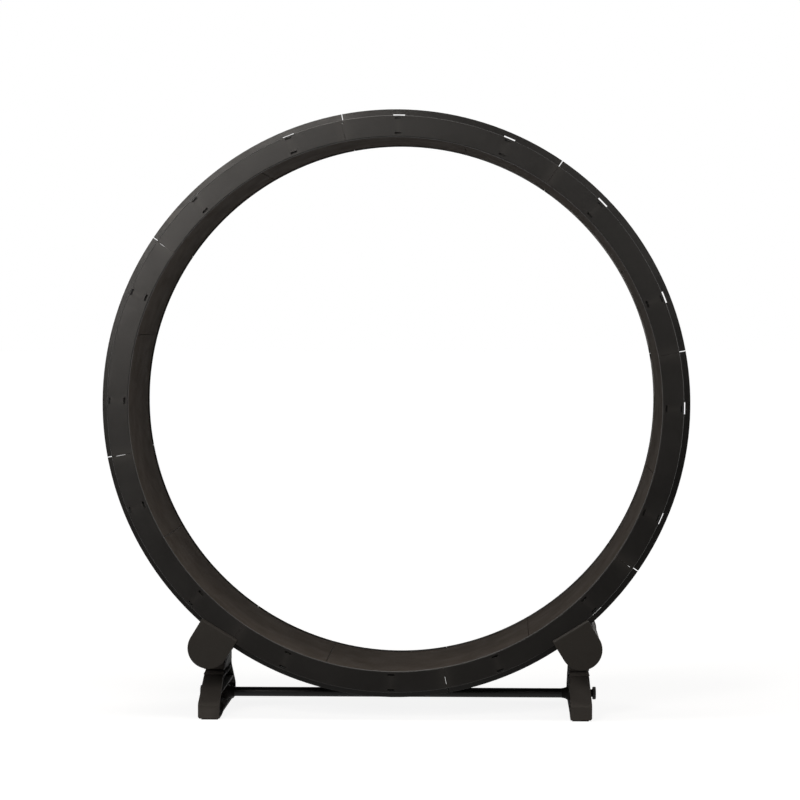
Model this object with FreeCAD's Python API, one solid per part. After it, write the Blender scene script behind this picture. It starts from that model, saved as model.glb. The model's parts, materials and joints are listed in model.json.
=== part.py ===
import FreeCAD, Part

import math
import os

# Cat exercise wheel. Eight curved track plates lie edge to edge between two rims, and each rim is
# a ring of eight open-backed segments that snap over the tongues of the plates. The rims roll on
# four rollers, two on each through shaft, in the cradles of two stands that one tie bar joins.
# Millimetres. The origin is on the floor under the middle of the wheel, +Z is up, the wheel's axis
# runs along Y, and the front looks towards -Y. Angles about that axis are in degrees, from +X
# towards +Z.

Vec = FreeCAD.Vector
TURN = Vec(0, -1, 0)  # turning about this runs from +X towards +Z
CUT_OVER = 1.0  # how far a cutting block passes the face it opens
SINK = 0.5  # how far a moulded rib is rooted in the wall that carries it

# Wheel: the rims
WHEEL_R = 500.0  # outside of the guide flanges
WHEEL_WIDTH = 300.0  # over the two rim faces
FLANGE_HEIGHT = 13.0  # guide flange above the rolling wall
FLANGE_THICK = 3.0
FACE_DEPTH = 49.0  # outside of the guide flanges down to the inner edge of the rim faces
RIM_WALL = 2.2
CHANNEL_DEPTH = 38.0  # rolling wall, behind the face
SEGMENTS = 8
SEAM_GAP = 0.4  # between neighbouring segments
RIM_PHASE = 10.5  # where the first rim seam lies
FLANGE_SEAM = 3.0  # wider gap between neighbouring guide flanges
FLOOR_GAP = 34.6  # under the wheel

# Wheel: the snap slots of the rims
SLOTS_PER_SEGMENT = 2
SLOT_LENGTH = 11.0
INNER_SLOT_MARGIN = 4.5  # from the rim's inner edge to the inner slot
OUTER_SLOT_MARGIN = 0.3  # from the outer slot to the inside of the rolling wall
WINDOW_LENGTH = 20.0  # window in the guide flange behind each outer slot
WINDOW_HEIGHT = 4.8
WINDOW_SHOULDER = 0.5  # left standing between the window and the rolling wall

# Wheel: the track plates and their mats
PLATE_WALL = 2.7
PLATE_PLAY = 0.5  # plate and the raised ends of its ribs to the back of the rim face
PLATE_STAGGER = 19.5  # plate seams past the rim seams
RIB_HEIGHT = 14.0  # cross rib behind the plate, between its raised ends
TONGUE_PLAY = 0.4  # round each tongue in its slot
TONGUE_RECESS = 1.2  # tongue's end below the rim face
LUG_LENGTH = 18.0  # the raised end of each cross rib, at its foot
LUG_TOP_LENGTH = 4.0
MAT_THICK = 2.5
MAT_PLAY = 1.0  # mat to the back of the rim face
MAT_SEAM = 0.8

# Rollers
ROLLER_R = 28.0
ROLLER_WIDTH = 24.0
ROLLER_SETBACK = 12.0  # behind the rim face
ROLLER_GAP = 0.3  # roller to rolling wall, unloaded
ROLLER_ANGLE = 37.5  # roller shaft from straight below the wheel's axis
SHAFT_R = 5.0
SHAFT_END_PLAY = 0.5
SEAT_PLAY = 0.02  # roller on its shaft
RUNNING_PLAY = 0.05  # shaft in its saddles

# Cradles
CRADLE_R = 33.5
CRADLE_WALL = 2.5
CRADLE_TILT = 31.5  # cradle's mouth from level
CRADLE_DROP = 4.0  # round bottom's centre below the shaft
WHEEL_CLEAR = 3.0  # cradle to the guide flange
WEB_THICK = 6.0  # the web that each end of the shaft lies in
WEB_SETBACK = 4.0  # web to the flange

# Roller covers
COVER_R = 35.0
COVER_OVERLAP = 8.4  # flat edge over the rim face
COVER_THICK = 4.0
COVER_GAP = 1.5  # rim face to cover
COVER_BREAK = 2.5  # bevel along the flat edge
PLUG_DEPTH = 4.0  # the cover's plug in the end of the cradle
PLUG_PLAY = 0.2

# Legs
LEG_THICK = 36.5
LEG_INSET = 18.5  # leg's open side from the centre of the cradle
LEG_TAPER = 3.0  # the closed side leans in by this much at the neck
LEG_WALL = 4.0
TOE_HEIGHT = 22.5
TOE_BREAK = 4.0
TOE_LENGTH = 42.0
SOLE_BREAK = 2.5
ARCH_HEIGHT = 9.0
ARCH_RUN = 30.0
NECK_DEPTH = 150.0
COLLAR_BAND = 9.0  # raised band round the top of the neck
COLLAR_PROUD = 1.0
SADDLE_HEIGHT = 12.0  # band to the underside of the cradle
LEG_RIBS = 2  # level ribs in the hollow of each leg
LEG_RIB_THICK = 3.0
LEG_RIB_PITCH = 22.0
PAD_THICK = 2.0
PAD_MARGIN = 3.0  # pad in from the edges of the foot

# Tie bar
TIE_HEIGHT = 28.4
TIE_ROD_R = 4.0
TIE_ROD_PLAY = 0.3
TIE_TUBE_R = 8.2
TIE_TUBE_WALL = 1.2
HUB_R = 12.0
HUB_PROUD = 12.0
KNOB_R = 11.0
KNOB_SIDES = 8
KNOB_HEAD = 6.0
KNOB_NECK_R = 7.0
KNOB_NECK = 5.0
THREAD_DEPTH = 8.0  # rod into the knob
THREAD_PLAY = 0.05

# What follows from them: the wheel
AXIS_Z = FLOOR_GAP + WHEEL_R
FACE_Y = WHEEL_WIDTH / 2
WALL_R = WHEEL_R - FLANGE_HEIGHT
WALL_INSIDE_R = WALL_R - RIM_WALL
RIM_EDGE_R = WHEEL_R - FACE_DEPTH
FLANGE_Y = FACE_Y - CHANNEL_DEPTH
FLANGE_BACK_Y = FLANGE_Y - FLANGE_THICK
SEGMENT_SPAN = 360.0 / SEGMENTS
SLOT_PITCH = SEGMENT_SPAN / SLOTS_PER_SEGMENT
SLOT_HEIGHT = PLATE_WALL + 2 * TONGUE_PLAY
INNER_SLOT_R = RIM_EDGE_R + INNER_SLOT_MARGIN
OUTER_SLOT_R = WALL_INSIDE_R - OUTER_SLOT_MARGIN - SLOT_HEIGHT
PLATE_R = INNER_SLOT_R + TONGUE_PLAY
PLATE_BACK_R = PLATE_R + PLATE_WALL
PLATE_EDGE_Y = FACE_Y - RIM_WALL - PLATE_PLAY
FIRST_LUG = (SLOT_PITCH / 2 - PLATE_STAGGER) % SLOT_PITCH

# What follows from them: the right cradle, its shaft and its leg
SHAFT_DISTANCE = WALL_R + ROLLER_GAP + ROLLER_R
SHAFT_X = SHAFT_DISTANCE * math.sin(math.radians(ROLLER_ANGLE))
SHAFT_Z = AXIS_Z - SHAFT_DISTANCE * math.cos(math.radians(ROLLER_ANGLE))
TILT_SIN = math.sin(math.radians(CRADLE_TILT))
TILT_COS = math.cos(math.radians(CRADLE_TILT))
CRADLE_X = SHAFT_X + CRADLE_DROP * TILT_SIN
CRADLE_Z = SHAFT_Z - CRADLE_DROP * TILT_COS
CRADLE_DISTANCE = CRADLE_DROP + SHAFT_DISTANCE * math.cos(math.radians(ROLLER_ANGLE - CRADLE_TILT))
CRADLE_REACH = CRADLE_DISTANCE - WHEEL_R - WHEEL_CLEAR
COVER_REACH = CRADLE_DISTANCE - WALL_R + COVER_OVERLAP
COVER_Y = FACE_Y + COVER_GAP
WEB_FRONT_Y = FLANGE_BACK_Y - WEB_SETBACK
WEB_BACK_Y = WEB_FRONT_Y - WEB_THICK
LEG_IN_X = CRADLE_X - LEG_INSET
LEG_OUT_X = LEG_IN_X + LEG_THICK
NECK_OUT_X = LEG_OUT_X - LEG_TAPER
BAND_TOP = CRADLE_Z - CRADLE_R - SADDLE_HEIGHT
NECK_TOP = BAND_TOP - COLLAR_BAND
TOE_TOP = PAD_THICK + TOE_HEIGHT
LEAN_Z = TOE_TOP + TOE_BREAK


def polygon_face(corners):
    """A flat face inside straight edges from corner to corner."""
    return Part.Face(Part.makePolygon(corners + corners[:1]))


def cylinder(radius, start, run):
    """A round bar from start along the vector run."""
    return Part.makeCylinder(radius, run.Length, start, run)


def tube(outer, inner, start, run):
    """A round bar with a hole right through it."""
    return cylinder(outer, start, run).cut(cylinder(inner, start, run))


def ring_sector(section, span):
    """Sweep a closed section of (radius, y) corners about the Y axis, through span degrees."""
    face = polygon_face([Vec(radius, y, 0) for radius, y in section])
    return face.revolve(Vec(0, 0, 0), TURN, span)


def turned(shape, degrees):
    """A copy of the shape, turned about the Y axis."""
    copy = shape.copy()
    copy.rotate(Vec(0, 0, 0), TURN, degrees)
    return copy


def radial_block(low, high, y_from, y_to, length, degrees):
    """A block between two radii, length long across the radius, at an angle about the Y axis."""
    corner = Vec(low, y_from, -length / 2)
    return turned(Part.makeBox(high - low, y_to - y_from, length, corner), degrees)


def mirrored_y(shape):
    """The same piece for the other face of the wheel."""
    return shape.mirror(Vec(0, 0, 0), Vec(0, 1, 0))


def mirrored_x(shape):
    """The same piece for the left-hand side."""
    return shape.mirror(Vec(0, 0, 0), Vec(1, 0, 0))


def around_wheel(piece, phase):
    """One copy of the piece for each segment of the wheel, lifted to the wheel's axis."""
    copies = [turned(piece, phase + SEGMENT_SPAN * index) for index in range(SEGMENTS)]
    for copy in copies:
        copy.translate(Vec(0, 0, AXIS_Z))
    return copies


def seam_angle(gap, radius):
    """The angle that a gap takes up at a radius."""
    return math.degrees(gap / radius)


def rim_segment():
    """One front segment: face, rolling wall and guide flange, with its slots and windows."""
    section = [
        (RIM_EDGE_R, -FACE_Y),
        (WALL_R, -FACE_Y),
        (WALL_R, -FLANGE_Y),
        (WHEEL_R, -FLANGE_Y),
        (WHEEL_R, -FLANGE_BACK_Y),
        (WALL_INSIDE_R, -FLANGE_BACK_Y),
        (WALL_INSIDE_R, -FACE_Y + RIM_WALL),
        (RIM_EDGE_R, -FACE_Y + RIM_WALL),
    ]
    seam = seam_angle(SEAM_GAP, WHEEL_R)
    channel = turned(ring_sector(section, SEGMENT_SPAN - seam), seam / 2)
    face_from = -FACE_Y - CUT_OVER
    face_to = -FACE_Y + RIM_WALL + CUT_OVER
    flange_from = -FLANGE_Y - CUT_OVER
    flange_to = -FLANGE_BACK_Y + CUT_OVER
    low = WALL_R + WINDOW_SHOULDER
    cuts = []
    for index in range(SLOTS_PER_SEGMENT):
        angle = SLOT_PITCH * (index + 0.5)
        for slot in (INNER_SLOT_R, OUTER_SLOT_R):
            cuts.append(radial_block(slot, slot + SLOT_HEIGHT, face_from, face_to, SLOT_LENGTH,
                                     angle))
        cuts.append(radial_block(low, low + WINDOW_HEIGHT, flange_from, flange_to,
                                 WINDOW_LENGTH, angle))
    for angle in (0.0, SEGMENT_SPAN):
        cuts.append(radial_block(low, WHEEL_R + CUT_OVER, flange_from, flange_to, FLANGE_SEAM,
                                 angle))
    return channel.cut(cuts)


def cross_rib():
    """A rib across the back of a plate, whose raised ends carry an inner and an outer tongue."""
    tip = FACE_Y - TONGUE_RECESS
    low = OUTER_SLOT_R + TONGUE_PLAY
    high = low + PLATE_WALL
    half = [
        (PLATE_R + SINK, tip),
        (PLATE_BACK_R, tip),
        (PLATE_BACK_R, PLATE_EDGE_Y),
        (low, PLATE_EDGE_Y),
        (low, tip),
        (high, tip),
        (high, PLATE_EDGE_Y - LUG_TOP_LENGTH),
        (PLATE_BACK_R + RIB_HEIGHT, PLATE_EDGE_Y - LUG_LENGTH),
    ]
    outline = half + [(radius, -y) for radius, y in half[::-1]]
    width = SLOT_LENGTH - 2 * TONGUE_PLAY
    face = polygon_face([Vec(radius, y, -width / 2) for radius, y in outline])
    return face.extrude(Vec(0, 0, width))


def track_plate():
    """One curved plate of the track, with a cross rib at each pair of slots."""
    edge = PLATE_EDGE_Y
    section = [(PLATE_R, -edge), (PLATE_BACK_R, -edge), (PLATE_BACK_R, edge), (PLATE_R, edge)]
    seam = seam_angle(SEAM_GAP, PLATE_R)
    plate = turned(ring_sector(section, SEGMENT_SPAN - seam), seam / 2)
    rib = cross_rib()
    angles = [FIRST_LUG + SLOT_PITCH * index for index in range(SLOTS_PER_SEGMENT)]
    return plate.fuse([turned(rib, angle) for angle in angles])


def running_mat():
    """One thin mat, laid on a track plate from rim to rim."""
    edge = FACE_Y - RIM_WALL - MAT_PLAY
    inside = PLATE_R - MAT_THICK
    section = [(inside, -edge), (PLATE_R, -edge), (PLATE_R, edge), (inside, edge)]
    seam = seam_angle(MAT_SEAM, PLATE_R)
    return turned(ring_sector(section, SEGMENT_SPAN - seam), seam / 2)


def cradle_point(across, towards, y=0.0):
    """A point in the right cradle's own section, across it and from its centre towards the wheel."""
    x = CRADLE_X + across * TILT_COS - towards * TILT_SIN
    z = CRADLE_Z + across * TILT_SIN + towards * TILT_COS
    return Vec(x, y, z)


def d_bar(radius, reach, y_from, y_to, base=0.0):
    """A bar of D section in the cradle: a half round about base, square above up to a flat top."""
    left = cradle_point(-radius, base, y_from)
    right = cradle_point(radius, base, y_from)
    top_left = cradle_point(-radius, reach, y_from)
    top_right = cradle_point(radius, reach, y_from)
    bottom = cradle_point(0, base - radius, y_from)
    edges = [
        Part.Arc(left, bottom, right).toShape(),
        Part.makeLine(right, top_right),
        Part.makeLine(top_right, top_left),
        Part.makeLine(top_left, left),
    ]
    return Part.Face(Part.Wire(edges)).extrude(Vec(0, y_to - y_from, 0))


def shaft_bar(radius, y_from, y_to):
    """A round bar on the right roller shaft's axis."""
    return cylinder(radius, Vec(SHAFT_X, y_from, SHAFT_Z), Vec(0, y_to - y_from, 0))


def both_ends(piece):
    """A front piece and its rear twin."""
    return [piece, mirrored_y(piece)]


def roller():
    """The front roller on the right shaft."""
    front = -FACE_Y + ROLLER_SETBACK
    body = shaft_bar(ROLLER_R, front, front + ROLLER_WIDTH)
    return body.cut(shaft_bar(SHAFT_R + SEAT_PLAY, front, front + ROLLER_WIDTH))


def roller_shaft():
    """The right shaft, from one cover's plug to the other's."""
    end = COVER_Y - PLUG_DEPTH - SHAFT_END_PLAY
    return shaft_bar(SHAFT_R, -end, end)


def roller_cover():
    """The front cover of the right cradle, bevelled along its flat edge, with its plug."""
    front = -COVER_Y - COVER_THICK
    plate = d_bar(COVER_R, COVER_REACH, front, -COVER_Y)
    wide = COVER_R + CUT_OVER
    over = COVER_REACH + CUT_OVER
    bevel_corners = [
        cradle_point(-wide, COVER_REACH - COVER_BREAK, front),
        cradle_point(-wide, COVER_REACH - COVER_BREAK, front - CUT_OVER),
        cradle_point(-wide, over, front - CUT_OVER),
        cradle_point(-wide, over, front + COVER_BREAK),
        cradle_point(-wide, COVER_REACH, front + COVER_BREAK),
    ]
    bevel_run = cradle_point(2 * wide, 0) - cradle_point(0, 0)
    bevel = polygon_face(bevel_corners).extrude(bevel_run)
    plug_r = CRADLE_R - CRADLE_WALL - PLUG_PLAY
    plug = d_bar(plug_r, CRADLE_REACH - PLUG_PLAY, -COVER_Y, -COVER_Y + PLUG_DEPTH)
    return plate.cut(bevel).fuse(plug)


def cradle_hollow():
    """The space inside the trough."""
    return d_bar(CRADLE_R - CRADLE_WALL, CRADLE_REACH + CUT_OVER, -COVER_Y, COVER_Y)


def cradle():
    """The right cradle: a trough along the wheel's axis with a saddled web behind each roller."""
    trough = d_bar(CRADLE_R, CRADLE_REACH, -COVER_Y, COVER_Y).cut(cradle_hollow())
    web = d_bar(CRADLE_R - CRADLE_WALL + SINK, CRADLE_REACH, -WEB_FRONT_Y, -WEB_BACK_Y)
    saddle = d_bar(SHAFT_R + RUNNING_PLAY, CRADLE_REACH + CUT_OVER, -WEB_FRONT_Y, -WEB_BACK_Y,
                   CRADLE_DROP)
    return trough.fuse(both_ends(web.cut(saddle)))


def leg_outline(inset):
    """The leg's (y, z) corners, all moved in from the outside by one wall."""
    toe = FACE_Y - inset
    sole = PAD_THICK + inset
    lean = math.atan2(NECK_TOP - TOE_TOP - TOE_BREAK, FACE_Y - TOE_BREAK - NECK_DEPTH / 2)
    slope_shift = inset / math.sin(lean) if inset else 0.0
    neck = NECK_DEPTH / 2 - inset
    heel = FACE_Y - TOE_LENGTH + inset
    arch = FACE_Y - TOE_LENGTH - ARCH_RUN
    arch_top = PAD_THICK + ARCH_HEIGHT + inset
    slope_run = (NECK_TOP - TOE_TOP - TOE_BREAK) / math.tan(lean)
    half = [
        (toe, sole),
        (toe, TOE_TOP),
        (FACE_Y - TOE_BREAK - slope_shift, TOE_TOP + TOE_BREAK),
        (neck, NECK_TOP + (FACE_Y - TOE_BREAK - slope_shift - slope_run - neck) * math.tan(lean)),
        (neck, BAND_TOP - inset),
    ]
    under = [(heel, sole), (arch, arch_top)]
    left = [(-y, z) for y, z in half]
    return half + left[::-1] + [(-y, z) for y, z in under] + under[::-1]


def leg_prism(outline, x_from, x_to):
    """A (y, z) outline extruded across the leg."""
    face = polygon_face([Vec(x_from, y, z) for y, z in outline])
    return face.extrude(Vec(x_to - x_from, 0, 0))


def side_trim(shift):
    """All that lies outside the leg's leaning closed side, moved in by shift."""
    far = LEG_OUT_X + LEG_THICK
    out = LEG_OUT_X - shift
    neck = NECK_OUT_X - shift
    corners = [
        (out - SOLE_BREAK, PAD_THICK - CUT_OVER),
        (out - SOLE_BREAK, PAD_THICK),
        (out, PAD_THICK + SOLE_BREAK),
        (out, LEAN_Z),
        (neck, NECK_TOP),
        (neck, CRADLE_Z),
        (far, CRADLE_Z),
        (far, PAD_THICK - CUT_OVER),
    ]
    long_y = FACE_Y + CUT_OVER
    face = polygon_face([Vec(x, -long_y, z) for x, z in corners])
    return face.extrude(Vec(0, 2 * long_y, 0))


def leg():
    """The right leg: a shell open towards the middle, with level ribs and the tie bar's hub."""
    solid = leg_prism(leg_outline(0.0), LEG_IN_X, LEG_OUT_X).cut(side_trim(0.0))
    pocket = leg_prism(leg_outline(LEG_WALL), LEG_IN_X - CUT_OVER, LEG_OUT_X)
    pocket = pocket.cut(side_trim(LEG_WALL))
    shell = solid.cut(pocket)
    ribs = []
    for index in range(LEG_RIBS):
        middle = NECK_TOP - LEG_WALL - LEG_RIB_PITCH * index
        slab = Part.makeBox(LEG_THICK, WHEEL_WIDTH, LEG_RIB_THICK,
                            Vec(LEG_IN_X, -FACE_Y, middle - LEG_RIB_THICK / 2))
        ribs.append(slab.common(solid))
    half_neck = NECK_DEPTH / 2
    neck_width = NECK_OUT_X - LEG_IN_X
    band = Part.makeBox(neck_width + COLLAR_PROUD, NECK_DEPTH + 2 * COLLAR_PROUD, COLLAR_BAND,
                        Vec(LEG_IN_X, -half_neck - COLLAR_PROUD, NECK_TOP))
    opening = Part.makeBox(neck_width - LEG_WALL, NECK_DEPTH - 2 * LEG_WALL,
                           COLLAR_BAND - LEG_WALL, Vec(LEG_IN_X, LEG_WALL - half_neck, NECK_TOP))
    saddle = Part.makeBox(neck_width, NECK_DEPTH, CRADLE_Z - BAND_TOP,
                          Vec(LEG_IN_X, -half_neck, BAND_TOP))
    hub_start = Vec(LEG_IN_X - HUB_PROUD, 0, TIE_HEIGHT)
    hub_run = Vec(LEG_OUT_X - LEG_IN_X + HUB_PROUD, 0, 0)
    body = shell.fuse(ribs + [band.cut(opening), saddle, cylinder(HUB_R, hub_start, hub_run)])
    return body.cut(cylinder(TIE_ROD_R + TIE_ROD_PLAY, hub_start, hub_run))


def stand():
    """The right stand, moulded in one: the leg with the cradle on its neck."""
    return leg().cut(cradle_hollow()).fuse(cradle()).removeSplitter()


def foot_pads():
    """The four soft pads under the ends of the two legs."""
    width = LEG_THICK - SOLE_BREAK - 2 * PAD_MARGIN
    length = TOE_LENGTH - 2 * PAD_MARGIN
    corner = Vec(LEG_IN_X + PAD_MARGIN, -FACE_Y + PAD_MARGIN, 0)
    pads = both_ends(Part.makeBox(width, length, PAD_THICK, corner))
    return pads + [mirrored_x(pad) for pad in pads]


def tie_tube():
    """The spacer tube between the hubs of the stands."""
    end = LEG_IN_X - HUB_PROUD
    return tube(TIE_TUBE_R, TIE_TUBE_R - TIE_TUBE_WALL, Vec(-end, 0, TIE_HEIGHT), Vec(2 * end, 0, 0))


def tie_rod():
    """The rod that draws the stands together, from inside one knob to inside the other."""
    end = LEG_OUT_X + THREAD_DEPTH
    return cylinder(TIE_ROD_R, Vec(-end, 0, TIE_HEIGHT), Vec(2 * end, 0, 0))


def flat_sided_bar(radius, sides, start, length):
    """A bar along +X with flat sides, radius out to its corners."""
    corners = []
    for index in range(sides):
        angle = math.radians(360.0 * (index + 0.5) / sides)
        corners.append(start + Vec(0, math.cos(angle), math.sin(angle)) * radius)
    return polygon_face(corners).extrude(Vec(length, 0, 0))


def tie_knob():
    """The right knob: a neck against the leg and a wide flat-sided head, with a blind bore."""
    seat = Vec(LEG_OUT_X, 0, TIE_HEIGHT)
    neck = flat_sided_bar(KNOB_NECK_R, KNOB_SIDES, seat, KNOB_NECK)
    head = flat_sided_bar(KNOB_R, KNOB_SIDES, seat + Vec(KNOB_NECK, 0, 0), KNOB_HEAD)
    return neck.fuse(head).cut(cylinder(TIE_ROD_R + THREAD_PLAY, seat, Vec(THREAD_DEPTH, 0, 0)))


def write_node(name, pieces):
    """Write one sub-part's solids to its own file."""
    for piece in pieces:
        if not piece.isValid() or len(piece.Solids) != 1:
            raise ValueError(f"{name} has a piece that is not one sound solid")
    shape = pieces[0] if len(pieces) == 1 else Part.makeCompound(pieces)
    shape.exportStep(os.path.join("parts", name + ".step"))
    volume = sum(piece.Volume for piece in pieces)
    print(f"{name}: {len(pieces)} solid(s), {volume / 1000:.1f} cm3")


def write_wheel():
    """Write the pieces that turn with the wheel."""
    segment = rim_segment()
    write_node("front_rim_segments", around_wheel(segment, RIM_PHASE))
    write_node("rear_rim_segments", around_wheel(mirrored_y(segment), RIM_PHASE))
    plates = around_wheel(track_plate(), RIM_PHASE + PLATE_STAGGER)
    for index, plate in enumerate(plates):
        write_node(f"track_plate_{index + 1}", [plate])
    write_node("running_mats", around_wheel(running_mat(), RIM_PHASE + PLATE_STAGGER))


def write_rollers():
    """Write the two shafts and the rollers on them."""
    shaft = roller_shaft()
    rollers = both_ends(roller())
    write_node("right_roller_shaft", [shaft])
    write_node("left_roller_shaft", [mirrored_x(shaft)])
    write_node("right_rollers", rollers)
    write_node("left_rollers", [mirrored_x(piece) for piece in rollers])


def write_base():
    """Write the stands and all that is fixed to them."""
    right = stand()
    covers = both_ends(roller_cover())
    knob = tie_knob()
    write_node("right_stand", [right])
    write_node("left_stand", [mirrored_x(right)])
    write_node("roller_covers", covers + [mirrored_x(cover) for cover in covers])
    write_node("foot_pads", foot_pads())
    write_node("tie_tube", [tie_tube()])
    write_node("tie_rod", [tie_rod()])
    write_node("tie_knobs", [knob, mirrored_x(knob)])


os.makedirs("parts", exist_ok=True)
write_wheel()
write_rollers()
write_base()
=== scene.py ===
"""Looks of the cat exercise wheel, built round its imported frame.

Lengths are in metres. Every piece stands where the frame says: the origin is on the floor under
the middle of the wheel, +Z is up, the wheel's axis runs along Y and its front looks towards -Y.
Angles about that axis are in degrees, from +X towards +Z.
"""

import json
import logging
import math
from dataclasses import dataclass, field
from enum import Enum

import bmesh
import bpy
from mathutils import Matrix, Vector

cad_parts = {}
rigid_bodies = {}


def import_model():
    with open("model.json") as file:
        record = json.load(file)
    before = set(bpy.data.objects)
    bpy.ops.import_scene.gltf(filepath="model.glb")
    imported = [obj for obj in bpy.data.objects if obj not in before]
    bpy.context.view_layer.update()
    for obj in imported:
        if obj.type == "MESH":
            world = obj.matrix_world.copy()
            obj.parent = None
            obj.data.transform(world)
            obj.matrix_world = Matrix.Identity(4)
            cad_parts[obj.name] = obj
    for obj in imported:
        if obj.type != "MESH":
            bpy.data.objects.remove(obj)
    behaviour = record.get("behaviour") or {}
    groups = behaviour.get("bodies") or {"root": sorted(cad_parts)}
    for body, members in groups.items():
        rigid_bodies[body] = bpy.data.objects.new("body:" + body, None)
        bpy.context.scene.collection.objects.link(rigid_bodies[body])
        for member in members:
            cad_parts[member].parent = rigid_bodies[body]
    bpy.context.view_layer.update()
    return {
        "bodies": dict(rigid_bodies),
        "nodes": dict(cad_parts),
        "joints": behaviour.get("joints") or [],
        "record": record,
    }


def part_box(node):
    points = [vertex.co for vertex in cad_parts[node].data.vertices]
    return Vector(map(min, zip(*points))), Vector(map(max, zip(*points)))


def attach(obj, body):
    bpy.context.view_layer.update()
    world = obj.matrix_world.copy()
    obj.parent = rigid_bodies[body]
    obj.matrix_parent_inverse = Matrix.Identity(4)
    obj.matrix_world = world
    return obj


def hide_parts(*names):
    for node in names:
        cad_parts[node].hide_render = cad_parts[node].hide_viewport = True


LOG = logging.getLogger("cat_wheel")

Point = tuple[float, float]
Colour = tuple[float, float, float]

WARM: Colour = (1.0, 0.95, 0.90)  # the lamps' light
WHITE: Colour = (1.0, 1.0, 1.0)
TURN = 360.0  # a full turn, in degrees
OVER = 0.001  # how far a cutting block passes the face it opens
NEAR = 0.0001  # places closer than this count as the same
MERGE = 0.000005  # vertices of a node's triangles closer than this become one
FLAT = 0.5  # faces that meet within this angle, in degrees, become one


# ---------------------------------------------------------------------------------------------
# Shader node helpers and finishes
# ---------------------------------------------------------------------------------------------


@dataclass(frozen=True)
class Noise:
    """A noise pattern, and the part of its range that counts.

    Attributes:
        scale: Lumps per metre.
        detail: Octaves of finer noise.
        roughness: How strong the finer octaves are.
        low: Value at which the pattern begins to show.
        high: Value from which it shows in full.
    """

    scale: float
    detail: float
    roughness: float
    low: float = 0.3
    high: float = 0.7


class NodeGraph:
    """A short way to add and wire the nodes of one tree.

    A Mix node has a set of sockets for each type of value, so they are told by their place.
    """

    MIX_COLOURS = (6, 7)
    MIX_COLOUR = 2
    MIX_VALUES = (2, 3)
    MIX_VALUE = 0

    def __init__(self, tree: bpy.types.NodeTree) -> None:
        """Start on an existing tree.

        Args:
            tree: The node tree that is filled.
        """
        self.tree = tree

    def add(self, kind: str, **settings: object) -> bpy.types.Node:
        """Add a node and set its options.

        Args:
            kind: The node's Blender type name.
            **settings: Attributes of the node, such as an operation.

        Returns:
            The new node.
        """
        node = self.tree.nodes.new(kind)
        for name, value in settings.items():
            setattr(node, name, value)
        return node

    def link(self, source: bpy.types.NodeSocket, target: bpy.types.NodeSocket) -> None:
        """Wire an output to an input.

        Args:
            source: The output.
            target: The input.
        """
        self.tree.links.new(source, target)

    def feed(self, node: bpy.types.Node, slot: int | str, value: object) -> None:
        """Give a node's input an output, a colour or a number.

        Args:
            node: The node.
            slot: The input's name or place.
            value: An output that is wired to it, or what it is set to.
        """
        socket = node.inputs[slot]
        if isinstance(value, bpy.types.NodeSocket):
            self.link(value, socket)
        elif socket.type == "RGBA":
            socket.default_value = (*value, 1.0)
        else:
            socket.default_value = value

    def noise(self, place: bpy.types.NodeSocket, pattern: Noise) -> bpy.types.NodeSocket:
        """Add a noise texture.

        Args:
            place: The vector output that the pattern follows.
            pattern: The noise.

        Returns:
            The noise's value output.
        """
        node = self.add("ShaderNodeTexNoise")
        for name, value in (("Scale", pattern.scale), ("Detail", pattern.detail),
                            ("Roughness", pattern.roughness), ("Vector", place)):
            self.feed(node, name, value)
        return node.outputs["Fac"]

    def remap(self, value: bpy.types.NodeSocket, low: float, high: float, to_low: float,
              to_high: float) -> bpy.types.NodeSocket:
        """Stretch a value from one range to another, clamped at its ends.

        Args:
            value: The output that is stretched.
            low: Value that becomes to_low.
            high: Value that becomes to_high.
            to_low: Low end of the result.
            to_high: High end of the result.

        Returns:
            The stretched value output.
        """
        node = self.add("ShaderNodeMapRange")
        for name, number in (("From Min", low), ("From Max", high), ("To Min", to_low),
                             ("To Max", to_high), ("Value", value)):
            self.feed(node, name, number)
        return node.outputs["Result"]

    def blend(self, factor: bpy.types.NodeSocket, first: object,
              second: object) -> bpy.types.NodeSocket:
        """Mix two colours.

        Args:
            factor: Output that chooses the second colour at 1.
            first: A colour, or a colour output.
            second: A colour, or a colour output.

        Returns:
            The mixed colour output.
        """
        node = self.add("ShaderNodeMix", data_type="RGBA")
        self.link(factor, node.inputs["Factor"])
        for slot, value in zip(self.MIX_COLOURS, (first, second)):
            self.feed(node, slot, value)
        return node.outputs[self.MIX_COLOUR]

    def combine(self, operation: str, first: bpy.types.NodeSocket,
                second: bpy.types.NodeSocket) -> bpy.types.NodeSocket:
        """Join two values.

        Args:
            operation: How they are joined.
            first: The first value.
            second: The second value.

        Returns:
            The result's output.
        """
        node = self.add("ShaderNodeMath", operation=operation)
        self.link(first, node.inputs[0])
        self.link(second, node.inputs[1])
        return node.outputs["Value"]


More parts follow.
